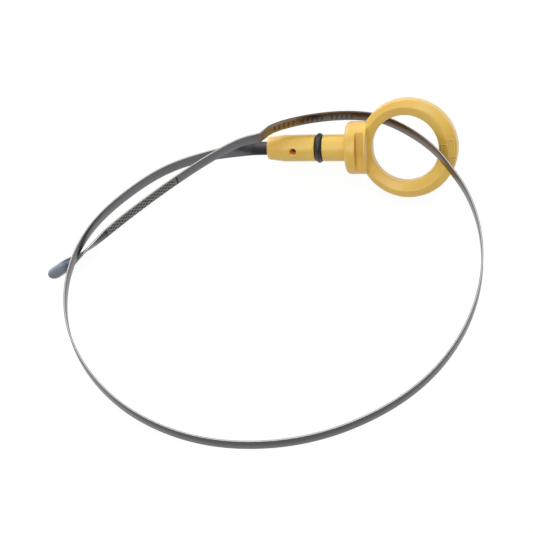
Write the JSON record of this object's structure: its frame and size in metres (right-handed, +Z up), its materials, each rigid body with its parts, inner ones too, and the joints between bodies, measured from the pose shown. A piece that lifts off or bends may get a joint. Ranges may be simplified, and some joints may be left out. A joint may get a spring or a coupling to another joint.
{
  "type": "engine oil dipstick",
  "caption": "Oil dipstick with a moulded finger-ring handle, a collar, a sealed plug and a flat spring-steel blade coiled in a loop.",
  "frame": {"origin": "on the surface that the part lies on, below the middle of its outline", "axes": "+Z up, +X along the handle from the nose towards the finger ring, +Y away from the viewer"},
  "size_m": [0.1831, 0.1633, 0.039],
  "materials": {
    "handle": "satin moulded plastic",
    "o_ring": "matt",
    "blade": "finely brushed, with polished edges"
  },
  "bodies": {
    "root": {"handle": "handle", "o_ring": "o_ring", "blade": "blade"}
  },
  "joints": []
}
